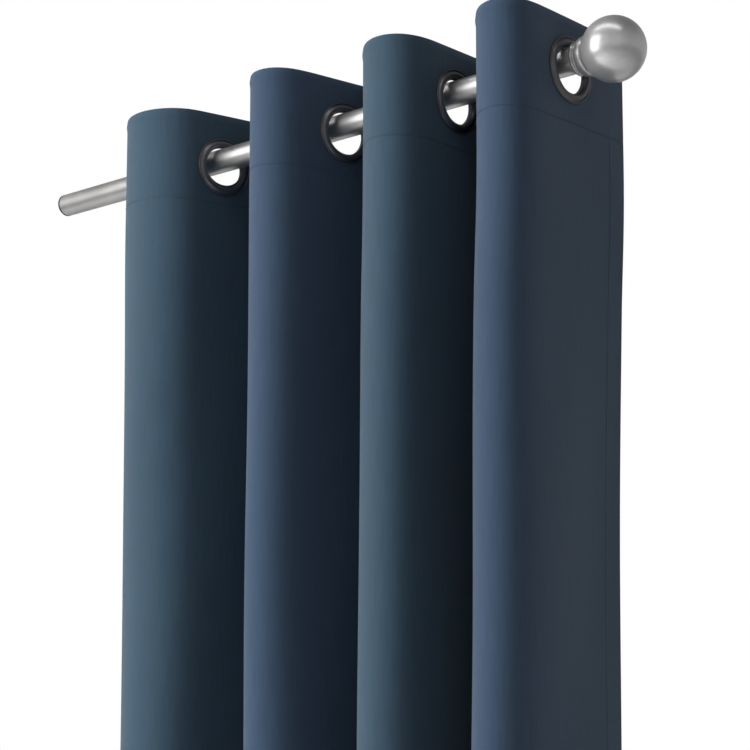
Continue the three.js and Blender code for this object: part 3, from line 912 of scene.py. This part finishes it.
columns = spaced(0, SIDE_HEM, HEM_CELL)
far_columns = len(columns)
patch_columns = []
for s in eyelet_s:
    columns += spaced(columns[-1], s - PATCH_HALF, FOLD_CELL)[1:]
    patch_columns.append(len(columns) - 1)
    columns += spaced(s - PATCH_HALF, s + PATCH_HALF, 2 * PATCH_HALF / PATCH_CELLS)[1:]
columns += spaced(columns[-1], cloth_width - SIDE_HEM, FOLD_CELL)[1:]
near_column = len(columns) - 1
columns += spaced(cloth_width - SIDE_HEM, cloth_width, HEM_CELL)[1:]

EDGE_ROLL = 0.45 * MM
rows = [EDGE_ROLL, 1.6 * MM, 3.4 * MM, 6 * MM, 9.5 * MM, 13 * MM]
patch_row = len(rows)
rows += spaced(eyelet_drop - PATCH_HALF, eyelet_drop + PATCH_HALF, 2 * PATCH_HALF / PATCH_CELLS)
rows += [90 * MM, 94 * MM, HEADER_SEAM - 2 * MM, HEADER_SEAM, HEADER_DEPTH]
header_row = len(rows)
rows += [106 * MM, 114 * MM]
rows += spaced(114 * MM, cloth_drop - HEM_DEPTH - 3 * MM, LONG_CELL)[1:]
hem_row = len(rows)
rows += [cloth_drop - HEM_DEPTH, cloth_drop - HEM_SEAM, cloth_drop - 69 * MM]
rows += spaced(cloth_drop - 69 * MM, cloth_drop - 6 * MM, 16 * MM)[1:]
rows += [cloth_drop - 2.5 * MM, cloth_drop - EDGE_ROLL]
columns, rows = np.array(columns), np.array(rows)
print("net", len(columns), "by", len(rows))

# %% [markdown]
# Real cloth is hemmed by folding it back on itself. So the sheet has its front layer, and on
# the reverse the turned-down header, the bottom hem and the side hems. The header and the bottom
# hem are joined to the front by a small round roll along their edge. The holes for the eyelets
# are real: inside a square patch the net changes step by step into a circle, on both layers of the header.

# %% Layers of the sheet
ROLL_STEPS = ((0.25, 0.87), (0.0, 0.0), (0.25, -0.87))
SIDE_STEP = 0.95 * MM
HOLE_RINGS = 2

mesh_points, mesh_faces, mesh_map = [], [], []


def add_points(s, v, layer):
    s, v = np.broadcast_arrays(np.asarray(s, float), np.asarray(v, float))
    first = len(mesh_points)
    mesh_points.extend(cloth_point(s, v, layer).reshape(-1, 3).tolist())
    mesh_map.extend(np.stack([s, v], axis=-1).reshape(-1, 2).tolist())
    return first + np.arange(s.size).reshape(s.shape)


def join_rows(a, b):
    for i in range(len(a) - 1):
        mesh_faces.append((int(a[i]), int(b[i]), int(b[i + 1]), int(a[i + 1])))


def add_layer(column_range, row_range, layer, with_holes):
    s = columns[column_range[0]:column_range[1]]
    v = rows[row_range[0]:row_range[1]]
    net = add_points(s[None, :], v[:, None], layer(s[None, :], v[:, None]))
    holes = np.zeros((len(v) - 1, len(s) - 1), bool)
    if with_holes:
        for k, column in enumerate(patch_columns):
            cells = slice(patch_row - row_range[0], patch_row - row_range[0] + PATCH_CELLS)
            holes[cells, column:column + PATCH_CELLS] = True
            add_hole(net[cells.start:cells.stop + 1, column:column + PATCH_CELLS + 1], eyelet_s[k], layer)
    for r in range(len(v) - 1):
        for c in range(len(s) - 1):
            if not holes[r, c]:
                corners = (net[r, c], net[r + 1, c], net[r + 1, c + 1], net[r, c + 1])
                mesh_faces.append(tuple(int(corner) for corner in corners))
    return net


def add_hole(patch, centre, layer):
    """Joins the square edge of a patch to a round hole at its middle."""
    edge = np.r_[patch[0, :-1], patch[:-1, -1], patch[-1, :0:-1], patch[:0:-1, 0]]
    square = np.array([mesh_map[i] for i in edge]) - (centre, eyelet_drop)
    circle = square / np.linalg.norm(square, axis=1)[:, None] * HOLE_RADIUS
    previous = np.r_[edge, edge[0]]
    for step in range(1, HOLE_RINGS + 2):
        share = step / (HOLE_RINGS + 1)
        ring = square * (1 - share) + circle * share + (centre, eyelet_drop)
        points = add_points(ring[:, 0], ring[:, 1], layer(ring[:, 0], ring[:, 1]))
        ring_points = np.r_[points, points[0]]
        join_rows(previous, ring_points)
        previous = ring_points


def front_layer(s, v):
    return LAYER_OFFSET + 0 * s * v


def reverse_layer(s, v):
    """The header and the bottom hem lie over the side hems, which are turned first."""
    over = 1 - eased(np.minimum(s, cloth_width - s), SIDE_HEM, 4 * MM)
    return -LAYER_OFFSET - SIDE_STEP * over + 0 * v


def side_layer(s, v):
    return -LAYER_OFFSET + 0 * s * v


def add_roll(front_edge, back_edge, s, v, outward):
    """A half-round strip between two layers; outward is the direction of the edge in (s, v)."""
    previous = front_edge
    for reach, share in ROLL_STEPS:
        out = EDGE_ROLL * (1 - reach)
        strip = add_points(s + outward[0] * out, v + outward[1] * out, LAYER_OFFSET * share + 1e-9)
        join_rows(previous, strip)
        previous = strip
    join_rows(previous, back_edge)


everything = (0, len(columns))
front = add_layer(everything, (0, len(rows)), front_layer, True)
header = add_layer(everything, (0, header_row), reverse_layer, True)
hem = add_layer(everything, (hem_row, len(rows)), reverse_layer, False)
add_layer((0, far_columns), (0, len(rows)), side_layer, False)
add_layer((near_column, len(columns)), (0, len(rows)), side_layer, False)
add_roll(front[0], header[0], columns, np.full(len(columns), rows[0]), (0, -1))
add_roll(front[-1], hem[-1], columns, np.full(len(columns), rows[-1]), (0, 1))
print("points", len(mesh_points), "faces", len(mesh_faces))

# %% [markdown]
# The net becomes a mesh, keeps its map in metres for the weave, and Solidify gives each layer
# the thickness of lined cloth.

# %% Curtain panel
def make_sheet():
    mesh = bpy.data.meshes.new("curtain_panel")
    mesh.from_pydata(mesh_points, [], mesh_faces)
    uv = mesh.uv_layers.new(name=CLOTH_MAP)
    order = np.zeros(len(mesh.loops), int)
    mesh.loops.foreach_get("vertex_index", order)
    uv.data.foreach_set("uv", np.array(mesh_map, np.float32)[order].ravel())
    piece = bpy.data.objects.new("curtain_panel", mesh)
    bpy.context.collection.objects.link(piece)
    face_outwards(piece)
    wall = piece.modifiers.new("thickness", "SOLIDIFY")
    wall.thickness = CLOTH_THICKNESS
    wall.offset = 0
    bpy.ops.object.modifier_apply(modifier=wall.name)
    bpy.ops.object.shade_smooth_by_angle(angle=math.radians(60))
    piece.data.materials.append(cloth)
    return piece


panel = make_sheet()
print("panel", len(panel.data.polygons), "faces")

# %% [markdown]
# The seams are lockstitched: a stitch every four millimetres, seen on both faces. One stitch
# could be a bent tube, but there are thousands of them and each is thinner than half a
# millimetre. So it is a six-sided length of thread with closed ends, which has few faces, and
# it is repeated along each seam, turned to follow the cloth.

# %% One stitch
STITCH_LENGTH = 3.2 * MM
STITCH_PITCH = 4.1 * MM
THREAD_RADIUS = 0.22 * MM
THREAD_SIDES = 6


def one_stitch():
    clear_selection()
    bpy.ops.mesh.primitive_cylinder_add(vertices=THREAD_SIDES, radius=THREAD_RADIUS, depth=STITCH_LENGTH,
                                        end_fill_type="TRIFAN", rotation=(0, math.pi / 2, 0))
    stitch = bpy.context.object
    set_place(stitch)
    points = np.array([v.co for v in stitch.data.vertices])
    faces = [tuple(p.vertices) for p in stitch.data.polygons]
    bpy.data.objects.remove(stitch)
    return points, faces


stitch_points, stitch_faces = one_stitch()
print("one stitch", len(stitch_faces), "faces")

# %% Seams
def sew(name, runs):
    """Each run is (s, v, along, layer): its stitches' places, the seam's direction and its layer."""
    points, faces = [], []
    for s, v, along, layer in runs:
        s, v, layer = np.broadcast_arrays(s, v, layer)
        centre = cloth_point(s, v, layer)
        ahead = cloth_point(s + along[0] * MM, v + along[1] * MM, layer)
        outer = cloth_point(s, v, layer + np.sign(layer) * MM)
        way = ahead - centre
        way /= np.linalg.norm(way, axis=1)[:, None]
        up = outer - centre
        up -= np.sum(up * way, axis=1)[:, None] * way
        up /= np.linalg.norm(up, axis=1)[:, None]
        side = np.cross(up, way)
        placed = (centre[:, None, :] + stitch_points[None, :, 0, None] * way[:, None, :]
                  + stitch_points[None, :, 1, None] * side[:, None, :]
                  + stitch_points[None, :, 2, None] * up[:, None, :])
        for stitch in placed:
            base = len(points)
            points.extend(stitch.tolist())
            faces.extend(tuple(base + i for i in face) for face in stitch_faces)
    mesh = bpy.data.meshes.new(name)
    mesh.from_pydata(points, [], faces)
    piece = bpy.data.objects.new(name, mesh)
    bpy.context.collection.objects.link(piece)
    mesh.materials.append(thread)
    face_outwards(piece)
    bpy.ops.object.shade_smooth_by_angle(angle=math.radians(70))
    return piece


ON_CLOTH = CLOTH_THICKNESS / 2 + 0.12 * MM
SEAM_INSET = 3 * MM
across_s = np.arange(4 * MM, cloth_width - 3 * MM, STITCH_PITCH)
down_v = np.arange(HEADER_DEPTH + 4 * MM, cloth_drop - HEM_DEPTH - 3 * MM, STITCH_PITCH)
far_seam, near_seam = SIDE_HEM - SEAM_INSET, cloth_width - SIDE_HEM + SEAM_INSET


def both_faces(s, v, along, reverse):
    on_face = (s, v, along, LAYER_OFFSET + ON_CLOTH)
    on_reverse = (s, v, along, reverse(s, v) - ON_CLOTH)
    return [on_face, on_reverse]


header_stitching = sew("header_stitching", both_faces(across_s, HEADER_SEAM, (1, 0), reverse_layer))
hem_stitching = sew("hem_stitching", both_faces(across_s, cloth_drop - HEM_SEAM, (1, 0), reverse_layer))
side_stitching = sew("side_stitching", both_faces(far_seam, down_v, (0, 1), side_layer)
                     + both_faces(near_seam, down_v, (0, 1), side_layer))
seams = [header_stitching, hem_stitching, side_stitching]
print("stitches", sum(len(seam.data.polygons) for seam in seams) // len(stitch_faces))

# %% [markdown]
# Last, every piece is tied to the body it moves with. The rings ride with their own eyelet.
# The cloth rides with the leading eyelet, and its stitching goes with it.


def tie(piece, body, slot_name, *nodes):
    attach(piece, body)
    if nodes:
        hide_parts(*nodes)


tie(rod, "rod", "rod_nickel", "rod_tube")
tie(collar, "finial", "finial_pewter", "finial_collar")
tie(ball, "finial", "finial_pewter", "finial_ball")
for k in range(1, EYELETS + 1):
    tie(face_rings[k - 1], f"eyelet_{k}", "eyelet_gunmetal", f"eyelet_{k}_face_ring")
    tie(back_rings[k - 1], f"eyelet_{k}", "eyelet_gunmetal", f"eyelet_{k}_back_ring")

cloth_nodes = [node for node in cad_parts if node.startswith("curtain_")]
tie(panel, "eyelet_8", "cloth", *cloth_nodes)
for piece in seams:
    tie(piece, "eyelet_8", "cloth")
for piece in [panel, *seams]:
    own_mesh(piece)
